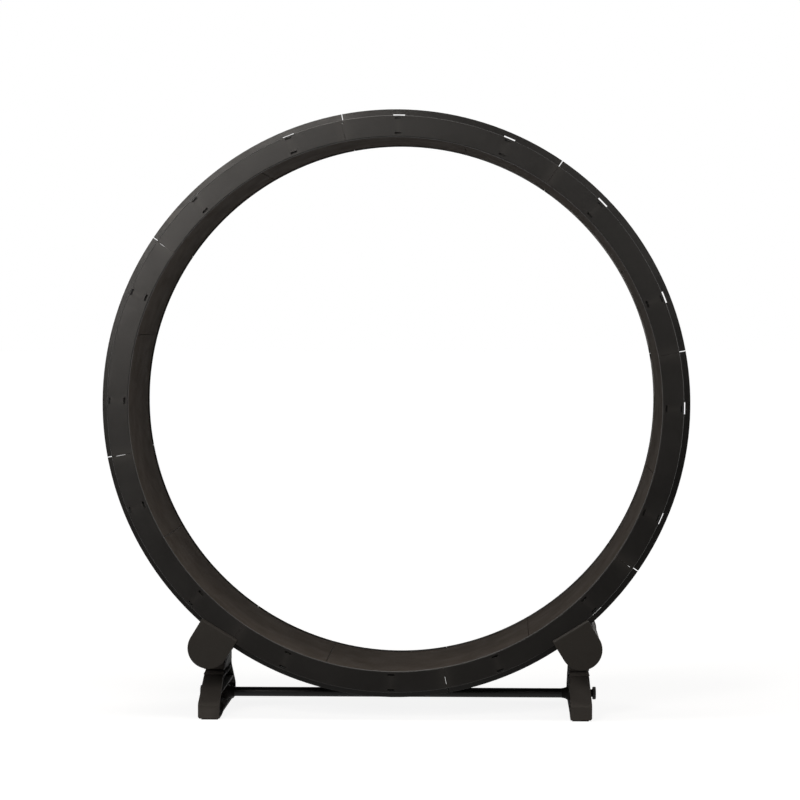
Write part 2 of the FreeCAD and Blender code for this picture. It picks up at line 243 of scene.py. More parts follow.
class Paint(NodeGraph):
    """A new material's tree, with its shader and the piece's own coordinates."""

    def __init__(self, name: str) -> None:
        """Make the material.

        Args:
            name: The material's name.
        """
        self.material = bpy.data.materials.new(name)
        self.material.use_nodes = True
        super().__init__(self.material.node_tree)
        self.shader = self.tree.nodes["Principled BSDF"]
        self.place = self.add("ShaderNodeTexCoord").outputs["Object"]

    def set(self, name: str, value: object) -> None:
        """Give one of the shader's inputs an output, a colour or a number.

        Args:
            name: The input's name.
            value: What it is given.
        """
        self.feed(self.shader, name, value)

    def spread(self, pattern: Noise, to_low: float, to_high: float) -> bpy.types.NodeSocket:
        """Spread a noise pattern over a piece, between two values.

        Args:
            pattern: The noise.
            to_low: The value where the pattern doesn't show.
            to_high: The value where it shows in full.

        Returns:
            The value output.
        """
        return self.remap(self.noise(self.place, pattern), pattern.low, pattern.high,
                          to_low, to_high)

    def bump(self, height: bpy.types.NodeSocket, strength: float, depth: float,
             invert: bool = False) -> None:
        """Give the surface a relief.

        Args:
            height: The output that it follows.
            strength: How strongly it shows.
            depth: Its height in metres.
            invert: Whether high values lie low.
        """
        node = self.add("ShaderNodeBump", invert=invert)
        for name, value in (("Strength", strength), ("Distance", depth), ("Height", height)):
            self.feed(node, name, value)
        self.set("Normal", node.outputs["Normal"])


@dataclass(frozen=True)
class MouldedPlastic:
    """A moulded plastic with a fine grain, slight mottling, rubbed edges and a little dust.

    Attributes:
        name: Material name.
        colour: Base colour.
        lift: Lighter colour of the mottling.
        roughness: Lowest and highest roughness over the surface.
        specular: Strength of the gloss layer.
        mottle: Pattern of the mottling.
        mottle_share: How much of the lighter colour it takes.
        edge_reach: Where an edge begins to be rubbed, and where it is rubbed in full.
        edge_share: How much of their colour rubbed edges take.
        rubbed: Colour of rubbed edges.
        dust: Pattern of the dust.
        dust_share: How much of its colour the dust takes.
        dust_colour: Colour of the dust.
        handling: Pattern of duller and glossier spots.
        grain: Pattern of the grain.
        grain_strength: How strongly the grain shows.
        grain_depth: Height of the grain in metres.
    """

    name: str
    colour: Colour
    lift: Colour
    roughness: Point
    specular: float = 0.5
    mottle: Noise = Noise(7.0, 5.0, 0.5, 0.35, 0.7)
    mottle_share: float = 0.55
    edge_reach: Point = (0.52, 0.62)
    edge_share: float = 0.6
    rubbed: Colour = (0.11, 0.10, 0.09)
    dust: Noise = Noise(420.0, 3.0, 0.7, 0.66, 0.74)
    dust_share: float = 0.25
    dust_colour: Colour = (0.16, 0.15, 0.14)
    handling: Noise = Noise(24.0, 6.0, 0.6)
    grain: Noise = Noise(1500.0, 4.0, 0.6)
    grain_strength: float = 0.6
    grain_depth: float = 0.00012

    def build(self) -> bpy.types.Material:
        """Make the material.

        Returns:
            The finished material.
        """
        paint = Paint(self.name)
        mottle = paint.spread(self.mottle, 0.0, self.mottle_share)
        base = paint.blend(mottle, self.colour, self.lift)
        edge = paint.remap(paint.add("ShaderNodeNewGeometry").outputs["Pointiness"],
                           *self.edge_reach, 0.0, self.edge_share)
        base = paint.blend(edge, base, self.rubbed)
        dust = paint.spread(self.dust, 0.0, self.dust_share)
        paint.set("Base Color", paint.blend(dust, base, self.dust_colour))
        paint.set("Roughness", paint.spread(self.handling, *self.roughness))
        paint.set("Specular IOR Level", self.specular)
        paint.bump(paint.noise(paint.place, self.grain), self.grain_strength, self.grain_depth)
        return paint.material


@dataclass(frozen=True)
class PebbledFoam:
    """A thin closed-cell foam whose skin is pebbled and a little worn.

    Attributes:
        name: Material name.
        colour: Base colour.
        worn: Colour where the skin is rubbed.
        pebbles: Pebbles per metre.
        depth: Height of the pebbles in metres.
        specular: Strength of the gloss layer.
        relief: How strongly the pebbles show.
        roughness: Lowest and highest roughness over the surface.
        wear: Pattern of the worn places.
        wear_share: How much of their colour worn places take.
        speck: Pattern of the small specks.
        speck_share: How much of the worn colour they take.
        handling: Pattern of duller and glossier spots.
    """

    name: str
    colour: Colour
    worn: Colour
    pebbles: float = 320.0
    depth: float = 0.0004
    specular: float = 0.08
    relief: float = 0.7
    roughness: Point = (0.78, 0.92)
    wear: Noise = Noise(9.0, 6.0, 0.6, 0.42, 0.66)
    wear_share: float = 0.8
    speck: Noise = Noise(260.0, 3.0, 0.7, 0.6, 0.72)
    speck_share: float = 0.35
    handling: Noise = Noise(30.0, 4.0, 0.5)

    def build(self) -> bpy.types.Material:
        """Make the material.

        Returns:
            The finished material.
        """
        paint = Paint(self.name)
        cells = paint.add("ShaderNodeTexVoronoi", feature="SMOOTH_F1")
        paint.feed(cells, "Scale", self.pebbles)
        paint.feed(cells, "Vector", paint.place)
        wear = paint.spread(self.wear, 0.0, self.wear_share)
        base = paint.blend(wear, self.colour, self.worn)
        speck = paint.spread(self.speck, 0.0, self.speck_share)
        paint.set("Base Color", paint.blend(speck, base, self.worn))
        paint.set("Roughness", paint.spread(self.handling, *self.roughness))
        paint.set("Specular IOR Level", self.specular)
        paint.bump(cells.outputs["Distance"], self.relief, self.depth, invert=True)
        return paint.material


@dataclass(frozen=True)
class TurnedMetal:
    """Bare or painted metal with fine turning marks.

    Attributes:
        name: Material name.
        colour: Base colour.
        metallic: 1 for bare metal, 0 for paint.
        roughness: Lowest and highest roughness over the surface.
        marks: Pattern of the turning marks, before it is stretched.
        stretch: Marks per metre along each axis.
        shade: Lightness of the marks beside the base colour.
        relief: How strongly the marks show.
        depth: Depth of the marks in metres.
    """

    name: str
    colour: Colour
    metallic: float
    roughness: Point
    marks: Noise = Noise(1.0, 3.0, 0.7)
    stretch: tuple[float, float, float] = (60.0, 900.0, 60.0)
    shade: float = 0.8
    relief: float = 0.3
    depth: float = 0.00003

    def build(self) -> bpy.types.Material:
        """Make the material.

        Returns:
            The finished material.
        """
        paint = Paint(self.name)
        stretch = paint.add("ShaderNodeMapping")
        paint.feed(stretch, "Scale", self.stretch)
        paint.feed(stretch, "Vector", paint.place)
        marks = paint.noise(stretch.outputs["Vector"], self.marks)
        darker = tuple(self.shade * channel for channel in self.colour)
        paint.set("Base Color", paint.blend(marks, self.colour, darker))
        paint.set("Roughness", paint.remap(marks, self.marks.low, self.marks.high,
                                           *self.roughness))
        paint.set("Metallic", self.metallic)
        paint.bump(marks, self.relief, self.depth)
        return paint.material


class Slot(Enum):
    """The record's material slots, each with its finish."""

    RIM = MouldedPlastic("rim", (0.0105, 0.0096, 0.0088), (0.020, 0.0185, 0.017), (0.30, 0.40))
    TRACK = MouldedPlastic("track", (0.013, 0.012, 0.011), (0.03, 0.028, 0.026), (0.4, 0.55))
    MAT = PebbledFoam("mat", (0.070, 0.058, 0.048), (0.104, 0.089, 0.076), specular=0.03)
    ROLLER = PebbledFoam("roller", (0.02, 0.02, 0.02), (0.04, 0.04, 0.04), 900.0, 0.0001)
    SHAFT = TurnedMetal("shaft", (0.55, 0.55, 0.56), 1.0, (0.22, 0.36))
    STAND = MouldedPlastic("stand", (0.0105, 0.009, 0.008), (0.020, 0.018, 0.016), (0.64, 0.76),
                           specular=0.2)
    COVER = MouldedPlastic("cover", (0.020, 0.0165, 0.0125), (0.034, 0.029, 0.023), (0.40, 0.50))
    KNOB = MouldedPlastic("knob", (0.012, 0.012, 0.012), (0.03, 0.03, 0.03), (0.35, 0.5))
    PAD = PebbledFoam("pad", (0.015, 0.015, 0.015), (0.03, 0.03, 0.03), 700.0, 0.0001)
    TIE_TUBE = TurnedMetal("tie_tube", (0.014, 0.014, 0.014), 0.0, (0.34, 0.46))

    @property
    def slot_name(self) -> str:
        """The slot's name in the record."""
        return self.value.name


class Finishes:
    """Makes each finish once and gives it to the pieces."""

    def __init__(self) -> None:
        """Build every slot's material."""
        self.materials = {slot: slot.value.build() for slot in Slot}

    def dress(self, piece: bpy.types.Object, slot: Slot) -> None:
        """Give a piece one slot's material.

        Args:
            piece: The object that is dressed.
            slot: The record's slot.
        """
        piece.data.materials.clear()
        piece.data.materials.append(self.materials[slot])


# ---------------------------------------------------------------------------------------------
# Mesh helpers
# ---------------------------------------------------------------------------------------------


def rounded(corners: list[tuple[float, float, float]], steps: int = 4) -> list[Point]:
    """Round the corners of a closed outline.

    Args:
        corners: Each corner's two coordinates and its radius, 0 for a sharp one.
        steps: Straight pieces in each arc.

    Returns:
        The outline's points.
    """
    points: list[Point] = []
    count = len(corners)
    for index, (u, v, radius) in enumerate(corners):
        here = Vector((u, v))
        if radius <= 0.0:
            points.append((u, v))
            continue
        before = (Vector(corners[index - 1][:2]) - here).normalized()
        after = (Vector(corners[(index + 1) % count][:2]) - here).normalized()
        half = before.angle(after) / 2
        reach = radius / math.tan(half)
        centre = here + (before + after).normalized() * (radius / math.sin(half))
        first = here + before * reach - centre
        turn = first.angle_signed(here + after * reach - centre)
        for step in range(steps + 1):
            arm = first.copy()
            arm.rotate(Matrix.Rotation(-turn * step / steps, 2))
            points.append(tuple(centre + arm))
    return points


def object_from(name: str, shape: bmesh.types.BMesh) -> bpy.types.Object:
    """Turn a bmesh into a linked object with outward faces.

    Args:
        name: Name of the object and its mesh.
        shape: The bmesh, which is freed.

    Returns:
        The new object.
    """
    bmesh.ops.recalc_face_normals(shape, faces=shape.faces)
    mesh = bpy.data.meshes.new(name)
    shape.to_mesh(mesh)
    shape.free()
    piece = bpy.data.objects.new(name, mesh)
    bpy.context.scene.collection.objects.link(piece)
    return piece


def add_ring(shape: bmesh.types.BMesh, outline: list[Point], start: float, span: float,
             steps: int) -> None:
    """Sweep a closed (radius, y) outline about the Y axis.

    Args:
        shape: The bmesh that is added to.
        outline: The swept outline.
        start: Angle of the first section, in degrees.
        span: Angle swept, in degrees; a full turn closes on itself.
        steps: Sections after the first.
    """
    closed = span >= TURN
    loops = []
    for step in range(steps if closed else steps + 1):
        angle = math.radians(start + span * step / steps)
        cosine, sine = math.cos(angle), math.sin(angle)
        loops.append([shape.verts.new((r * cosine, y, r * sine)) for r, y in outline])
    pairs = list(zip(loops, loops[1:]))
    if closed:
        pairs.append((loops[-1], loops[0]))
    else:
        shape.faces.new(loops[0])
        shape.faces.new(loops[-1][::-1])
    count = len(outline)
    for first, second in pairs:
        for index in range(count):
            following = (index + 1) % count
            shape.faces.new((first[index], second[index], second[following], first[following]))


def add_prism(shape: bmesh.types.BMesh, corners: list[Vector], run: Vector) -> None:
    """Extrude a flat outline along a vector.

    Args:
        shape: The bmesh that is added to.
        corners: The outline's corners.
        run: The way and distance that it is pushed.
    """
    near = [shape.verts.new(corner) for corner in corners]
    far = [shape.verts.new(corner + run) for corner in corners]
    shape.faces.new(near)
    shape.faces.new(far[::-1])
    count = len(corners)
    for index in range(count):
        following = (index + 1) % count
        shape.faces.new((near[index], near[following], far[following], far[index]))


def add_radial_block(shape: bmesh.types.BMesh, radii: Point, depth: Point, length: float,
                     degrees: float) -> None:
    """Add a block between two radii at an angle about the Y axis.

    Args:
        shape: The bmesh that is added to.
        radii: Lowest and highest radius.
        depth: Lowest and highest y.
        length: Size across the radius.
        degrees: Angle of its middle.
    """
    turn = Matrix.Rotation(-math.radians(degrees), 3, "Y")
    low, high = radii
    corners = [Vector((low, depth[0], -length / 2)), Vector((high, depth[0], -length / 2)),
               Vector((high, depth[0], length / 2)), Vector((low, depth[0], length / 2))]
    run = Vector((0.0, depth[1] - depth[0], 0.0))
    add_prism(shape, [turn @ corner for corner in corners], run)


def bake(piece: bpy.types.Object) -> bpy.types.Object:
    """Turn a piece's modifiers into plain mesh.

    Args:
        piece: The object with live modifiers.

    Returns:
        The same object, with none left.
    """
    graph = bpy.context.evaluated_depsgraph_get()
    mesh = bpy.data.meshes.new_from_object(piece.evaluated_get(graph), depsgraph=graph)
    old = piece.data
    piece.modifiers.clear()
    piece.data = mesh
    mesh.name = piece.name
    bpy.data.meshes.remove(old)
    return piece


def remove(piece: bpy.types.Object) -> None:
    """Delete an object and its mesh.

    Args:
        piece: The object.
    """
    mesh = piece.data
    bpy.data.objects.remove(piece)
    bpy.data.meshes.remove(mesh)


def join(piece: bpy.types.Object, other: bpy.types.Object) -> None:
    """Add another object's mesh to a piece.

    Args:
        piece: The object that is added to.
        other: The object whose mesh is added, and that is deleted.
    """
    shape = bmesh.new()
    shape.from_mesh(piece.data)
    shape.from_mesh(other.data)
    shape.to_mesh(piece.data)
    shape.free()
    remove(other)


def cut(piece: bpy.types.Object, cutter: bpy.types.Object,
        overlapping: bool = False) -> bpy.types.Object:
    """Cut one closed mesh out of another.

    Args:
        piece: The object that is cut.
        cutter: The object that is taken away, and deleted.
        overlapping: Whether the piece is made of shapes that overlap.

    Returns:
        The cut piece.
    """
    boolean = piece.modifiers.new("cut", "BOOLEAN")
    boolean.operation = "DIFFERENCE"
    boolean.solver = "EXACT"
    boolean.use_self = overlapping
    boolean.object = cutter
    bake(piece)
    remove(cutter)
    return piece


def soften(piece: bpy.types.Object, width: float, segments: int = 2,
           angle: float = 32.0) -> bpy.types.Object:
    """Break a piece's sharp edges and shade it smooth.

    Args:
        piece: The object.
        width: Width of the broken edge.
        segments: Faces across it.
        angle: Edges sharper than this, in degrees, are broken.

    Returns:
        The same object.
    """
    piece.data.shade_smooth()
    bevel = piece.modifiers.new("edges", "BEVEL")
    bevel.width = width
    bevel.segments = segments
    bevel.limit_method = "ANGLE"
    bevel.angle_limit = math.radians(angle)
    bevel.use_clamp_overlap = True
    normals = piece.modifiers.new("normals", "WEIGHTED_NORMAL")
    normals.keep_sharp = True
    return bake(piece)


def copy_of_node(frame: dict, node: str, name: str) -> bpy.types.Object:
    """Copy a node's mesh, with its loose triangles merged into flat faces.

    Args:
        node: The node's name.
        name: Name of the copy.

    Returns:
        The copy.
    """
    shape = bmesh.new()
    shape.from_mesh(frame["nodes"][node].data)
    bmesh.ops.remove_doubles(shape, verts=shape.verts, dist=MERGE)
    bmesh.ops.dissolve_limit(shape, angle_limit=math.radians(FLAT), verts=shape.verts,
                             edges=shape.edges)
    return object_from(name, shape)


def assign(piece: bpy.types.Object, body: str, node: str) -> None:
    """Say what a piece moves with, and hide the node that it stands for.

    Args:
        piece: The finished piece.
        body: The body it moves with.
        node: The node it stands for.
    """
    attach(piece, body)
    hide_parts(node)


class RingRepeat:
    """A Geometry Nodes tree that repeats a piece round the wheel's axis, at its height."""

    COUNT = "Count"
    PITCH = "Pitch"
    PHASE = "Phase"
    LIFT = "Lift"

    def __init__(self, material: bpy.types.Material) -> None:
        """Build the tree.

        Args:
            material: Set on the repeated piece.
        """
        self.tree = bpy.data.node_groups.new("ring_repeat", "GeometryNodeTree")
        self.sockets: dict[str, str] = {}
        face = self.tree.interface
        face.new_socket("Geometry", in_out="INPUT", socket_type="NodeSocketGeometry")
        for name, kind in ((self.COUNT, "NodeSocketInt"), (self.PITCH, "NodeSocketFloat"),
                           (self.PHASE, "NodeSocketFloat"), (self.LIFT, "NodeSocketFloat")):
            socket = face.new_socket(name, in_out="INPUT", socket_type=kind)
            self.sockets[name] = socket.identifier
        face.new_socket("Geometry", in_out="OUTPUT", socket_type="NodeSocketGeometry")
        graph = NodeGraph(self.tree)
        given = graph.add("NodeGroupInput")
        made = graph.add("NodeGroupOutput")
        points = graph.add("GeometryNodePoints")
        graph.link(given.outputs[self.COUNT], points.inputs["Count"])
        turn = graph.add("ShaderNodeMath", operation="MULTIPLY_ADD")
        graph.link(graph.add("GeometryNodeInputIndex").outputs["Index"], turn.inputs[0])
        graph.link(given.outputs[self.PITCH], turn.inputs[1])
        graph.link(given.outputs[self.PHASE], turn.inputs[2])
        radians = graph.add("ShaderNodeMath", operation="MULTIPLY")
        radians.inputs[1].default_value = -math.radians(1.0)
        graph.link(turn.outputs["Value"], radians.inputs[0])
        spin = graph.add("ShaderNodeCombineXYZ")
        graph.link(radians.outputs["Value"], spin.inputs["Y"])
        place = graph.add("GeometryNodeInstanceOnPoints")
        graph.link(points.outputs[0], place.inputs["Points"])
        graph.link(given.outputs["Geometry"], place.inputs["Instance"])
        graph.link(spin.outputs["Vector"], place.inputs["Rotation"])
        up = graph.add("ShaderNodeCombineXYZ")
        graph.link(given.outputs[self.LIFT], up.inputs["Z"])
        realize = graph.add("GeometryNodeRealizeInstances")
        graph.link(place.outputs["Instances"], realize.inputs["Geometry"])
        move = graph.add("GeometryNodeTransform")
        graph.link(realize.outputs["Geometry"], move.inputs["Geometry"])
        graph.link(up.outputs["Vector"], move.inputs["Translation"])
        dressed = graph.add("GeometryNodeSetMaterial")
        dressed.inputs["Material"].default_value = material
        graph.link(move.outputs["Geometry"], dressed.inputs["Geometry"])
        graph.link(dressed.outputs["Geometry"], made.inputs["Geometry"])

    def apply(self, piece: bpy.types.Object, count: int, pitch: float, phase: float,
              lift: float) -> bpy.types.Object:
        """Repeat a piece and turn the result into plain mesh.

        Args:
            piece: The piece, built about the Y axis through the origin.
            count: How many.
            pitch: Degrees from one to the next.
            phase: Angle of the first, in degrees.
            lift: Height of the wheel's axis.

        Returns:
            The same object with the repeated mesh.
        """
        modifier = piece.modifiers.new("ring", "NODES")
        modifier.node_group = self.tree
        for name, value in ((self.COUNT, count), (self.PITCH, pitch), (self.PHASE, phase),
                            (self.LIFT, lift)):
            modifier[self.sockets[name]] = value
        return bake(piece)


# ---------------------------------------------------------------------------------------------
# The wheel
# ---------------------------------------------------------------------------------------------


@dataclass
class WheelSizes:
    """Sizes of the rims and the track, about the wheel's own axis.

    The first three come from the frame, and the rest are the part's own.

    Attributes:
        axis_z: Height of the wheel's axis.
        outer_r: Outside of the guide flanges.
        face_y: The rim faces, from the middle of the wheel.
        flange_height: Guide flange above the rolling wall.
        flange_thick: Thickness of the guide flange.
        face_depth: Outside of the guide flanges down to the inner edge of the rim faces.
        rim_wall: Wall of the rims.
        channel_depth: The rolling wall, behind the face.
        segments: Segments in each rim, and plates in the track.
        seam_gap: Gap between neighbouring segments, and between plates.
        flange_seam: Wider gap between neighbouring guide flanges.
        rim_phase: Angle of the first rim seam.
        plate_stagger: Plate seams past the rim seams.
        slots: Pairs of slots in each segment.
        slot_length: Length of a slot.
        inner_slot_margin: From the rim's inner edge to the inner slot.
        outer_slot_margin: From the outer slot to the inside of the rolling wall.
        plate_wall: Wall of the plates.
        plate_play: Plate to the back of the rim face.
        tongue_play: Round the plate's edge in its slot.
    """

    axis_z: float
    outer_r: float
    face_y: float
    flange_height: float = 0.013
    flange_thick: float = 0.003
    face_depth: float = 0.049
    rim_wall: float = 0.0022
    channel_depth: float = 0.038
    segments: int = 8
    seam_gap: float = 0.0005
    flange_seam: float = 0.0013
    rim_phase: float = 10.5
    plate_stagger: float = 19.5
    slots: int = 2
    slot_length: float = 0.011
    inner_slot_margin: float = 0.0045
    outer_slot_margin: float = 0.0003
    plate_wall: float = 0.0027
    plate_play: float = 0.0005
    tongue_play: float = 0.0004

    @property
    def wall_r(self) -> float:
        """Outside of the rolling wall."""
        return self.outer_r - self.flange_height

    @property
    def edge_r(self) -> float:
        """Inner edge of the rim faces."""
        return self.outer_r - self.face_depth

    @property
    def slot_height(self) -> float:
        """Height of the slots that the plates' tongues snap into."""
        return self.plate_wall + 2 * self.tongue_play

    @property
    def inner_slot(self) -> Point:
        """Lowest and highest radius of the inner slots."""
        low = self.edge_r + self.inner_slot_margin
        return low, low + self.slot_height

    @property
    def plate_r(self) -> float:
        """Inside of the track plates."""
        return self.inner_slot[0] + self.tongue_play

    @property
    def plate_back_r(self) -> float:
        """Outside of the track plates."""
        return self.plate_r + self.plate_wall

    @property
    def plate_edge_y(self) -> float:
        """Edge of the track plates, behind the rim faces."""
        return self.face_y - self.rim_wall - self.plate_play

    @property
    def span(self) -> float:
        """Angle from one segment to the next."""
        return TURN / self.segments

    @property
    def slot_pitch(self) -> float:
        """Angle from one slot to the next."""
        return self.span / self.slots

    @property
    def outer_slot(self) -> Point:
        """Lowest and highest radius of the outer slots."""
        high = self.wall_r - self.rim_wall - self.outer_slot_margin
        return high - self.slot_height, high

    def seam(self, radius: float) -> float:
        """Angle of the gap between neighbours at a radius, in degrees."""
        return math.degrees(self.seam_gap / radius)


@dataclass
class Rims:
    """The two rims: rings of eight segments with slots, windows and a guide flange.

    Attributes:
        sizes: The wheel's sizes.
        steps: Sections in each segment.
        face_round: Radius of the edge between the face and the rolling wall.
        inner_round: Radius of the face's inner edge.
        flange_lean: How far the flange's front leans back over its outer part.
        flange_band: Height of that leaning part.
        band_round: Radius of the bend under it.
        flange_round: Radius of the flange's edges.
        edge: Width of the broken edges of slots, windows and seams.
        window_length: Length of the windows in the flange.
        window_height: Height of the windows.
        window_shoulder: Wall left between a window and the rolling wall.
    """

    sizes: WheelSizes
    steps: int = 24
    face_round: float = 0.0014
    inner_round: float = 0.0018
    flange_lean: float = 0.0014
    flange_band: float = 0.011
    band_round: float = 0.001
    flange_round: float = 0.0006
    edge: float = 0.00025
    window_length: float = 0.020
    window_height: float = 0.0036
    window_shoulder: float = 0.0005

    def outline(self) -> list[Point]:
        """The (radius, y) outline of a front segment."""
        s = self.sizes
        flange_y = -s.face_y + s.channel_depth
        back_y = flange_y + s.flange_thick
        inside_r = s.wall_r - s.rim_wall
        return rounded([
            (s.edge_r, -s.face_y, self.inner_round),
            (s.wall_r, -s.face_y, self.face_round),
            (s.wall_r, flange_y, 0.0),
            (s.outer_r - self.flange_band, flange_y, self.band_round),
            (s.outer_r, flange_y + self.flange_lean, self.flange_round),
            (s.outer_r, back_y, self.flange_round),
            (inside_r, back_y, 0.0),
            (inside_r, -s.face_y + s.rim_wall, 0.0),
            (s.edge_r, -s.face_y + s.rim_wall, 0.0),
        ])

    def segment(self, name: str) -> bpy.types.Object:
        """Make one front segment about the Y axis.

        Args:
            name: Name of the object.

        Returns:
            The segment.
        """
        s = self.sizes
        shape = bmesh.new()
        seam = s.seam(s.outer_r)
        add_ring(shape, self.outline(), seam / 2, s.span - seam, self.steps)
        piece = object_from(name, shape)
        cutter = bmesh.new()
        face = (-s.face_y - OVER, -s.face_y + s.rim_wall + OVER)
        flange_y = -s.face_y + s.channel_depth
        flange = (flange_y - OVER, flange_y + s.flange_thick + OVER)
        low = s.wall_r + self.window_shoulder
        for index in range(s.slots):
            angle = s.slot_pitch * (index + 0.5)
            for radii in (s.inner_slot, s.outer_slot):
                add_radial_block(cutter, radii, face, s.slot_length, angle)
            add_radial_block(cutter, (low, low + self.window_height), flange,
                             self.window_length, angle)
        for angle in (0.0, s.span):
            add_radial_block(cutter, (low, s.outer_r + OVER), flange, s.flange_seam, angle)
        cut(piece, object_from(name + "_cutter", cutter))
        return soften(piece, self.edge)

    def build(self, finishes: Finishes) -> list[bpy.types.Object]:
        """Make both rims.

        Args:
            finishes: The materials.

        Returns:
            The front and the rear rim.
        """
        s = self.sizes
        ring = RingRepeat(finishes.materials[Slot.RIM])
        made = []
        for side in ("front", "rear"):
            piece = self.segment(f"{side}_rim")
            if side == "rear":
                piece.data.transform(Matrix.Scale(-1.0, 4, (0.0, 1.0, 0.0)))
                piece.data.flip_normals()
            ring.apply(piece, s.segments, s.span, s.rim_phase, s.axis_z)
            assign(piece, "wheel", f"{side}_rim_segments")
            made.append(piece)
        return made


@dataclass
class Track:
    """The eight track plates with their cross ribs, and the mats on them.

    Attributes:
        sizes: The wheel's sizes.
        steps: Sections in each plate and mat.
        plate_edge: Radius of the plates' long edges.
        plate_break: Width of the broken edges of plates and ribs.
        rib_height: Height of the cross ribs behind the plates.
        rib_root: How deep the ribs reach into the plate.
        lug_length: Foot of a rib's raised end.
        lug_top: Top of a rib's raised end.
        rib_width: Thickness of the cross ribs.
        pocket: Depth of the pockets behind the rim's slots.
        mat_thick: Thickness of the mats.
        mat_play: Mat's edge to the back of the rim face.
        mat_seam: Gap between neighbouring mats.
        mat_round: Radius of the mats' long edges.
        mat_break: Width of the mats' broken edges.
    """

    sizes: WheelSizes
    steps: int = 28
    plate_edge: float = 0.0005
    plate_break: float = 0.0003
    rib_height: float = 0.014
    rib_root: float = 0.0005
    lug_length: float = 0.018
    lug_top: float = 0.004
    rib_width: float = 0.013
    pocket: float = 0.007
    mat_thick: float = 0.0025
    mat_play: float = 0.001
    mat_seam: float = 0.0008
    mat_round: float = 0.001
    mat_break: float = 0.0004

    @property
    def phase(self) -> float:
        """Angle of the first plate seam."""
        return self.sizes.rim_phase + self.sizes.plate_stagger

    def rib_corners(self) -> list[Vector]:
        """The corners of a cross rib with raised ends, at one side of the rib."""
        s = self.sizes
        shoulder = s.plate_edge_y
        high = s.outer_slot[0] + s.tongue_play + s.plate_wall
        half = [
            (s.plate_r + self.rib_root, shoulder),
            (high, shoulder),
            (high, shoulder - self.lug_top),
            (s.plate_back_r + self.rib_height, shoulder - self.lug_length),
        ]
        outline = half + [(radius, -y) for radius, y in half[::-1]]
        return [Vector((radius, y, -self.rib_width / 2)) for radius, y in outline]

    def plate(self, name: str) -> bpy.types.Object:
        """Make one plate about the Y axis, with pockets behind the rims' slots.

        The ring and its ribs overlap, so the cut is told to take them as one body.

        Args:
            name: Name of the object.

        Returns:
            The plate.
        """
        s = self.sizes
        edge_y = s.plate_edge_y
        inner, outer = s.plate_r, s.plate_back_r
        outline = rounded([(inner, -edge_y, self.plate_edge), (outer, -edge_y, self.plate_edge),
                           (outer, edge_y, self.plate_edge), (inner, edge_y, self.plate_edge)])
        seam = s.seam(inner)
        shape = bmesh.new()
        add_ring(shape, outline, seam / 2, s.span - seam, self.steps)
        opening = s.slot_length + s.tongue_play
        first = (s.slot_pitch / 2 - s.plate_stagger) % s.slot_pitch
        pockets = bmesh.new()
        for index in range(s.slots):
            angle = first + s.slot_pitch * index
            turn = Matrix.Rotation(-math.radians(angle), 3, "Y")
            add_prism(shape, [turn @ corner for corner in self.rib_corners()],
                      turn @ Vector((0.0, 0.0, self.rib_width)))
            for radii in (s.inner_slot, s.outer_slot):
                for depth in ((-s.face_y, self.pocket - s.face_y),
                              (s.face_y - self.pocket, s.face_y)):
                    add_radial_block(pockets, radii, depth, opening, angle)
        piece = cut(object_from(name, shape), object_from(name + "_pockets", pockets),
                    overlapping=True)
        return soften(piece, self.plate_break)

    def mat(self, name: str) -> bpy.types.Object:
        """Make one mat about the Y axis.

        Args:
            name: Name of the object.

        Returns:
            The mat.
        """
        s = self.sizes
        edge_y = s.face_y - s.rim_wall - self.mat_play
        inner = s.plate_r - self.mat_thick
        outline = rounded([(inner, -edge_y, self.mat_round), (s.plate_r, -edge_y, 0.0),
                           (s.plate_r, edge_y, 0.0), (inner, edge_y, self.mat_round)])
        seam = math.degrees(self.mat_seam / s.plate_r)
        shape = bmesh.new()
        add_ring(shape, outline, seam / 2, s.span - seam, self.steps)
        return soften(object_from(name, shape), self.mat_break)

    def build(self, finishes: Finishes) -> list[bpy.types.Object]:
        """Make the plates and the mats.

        Args:
            finishes: The materials.

        Returns:
            Eight plates and one piece of mats.
        """
        s = self.sizes
        ring = RingRepeat(finishes.materials[Slot.TRACK])
        made = []
        for index in range(s.segments):
            piece = self.plate(f"plate_{index + 1}")
            ring.apply(piece, 1, s.span, self.phase + s.span * index, s.axis_z)
            assign(piece, "wheel", f"track_plate_{index + 1}")
            made.append(piece)
        mats = self.mat("mats")
        cover = RingRepeat(finishes.materials[Slot.MAT])
        cover.apply(mats, s.segments, s.span, self.phase, s.axis_z)
        assign(mats, "wheel", "running_mats")
        return made + [mats]


# ---------------------------------------------------------------------------------------------
# Rollers, stands and tie bar
# ---------------------------------------------------------------------------------------------


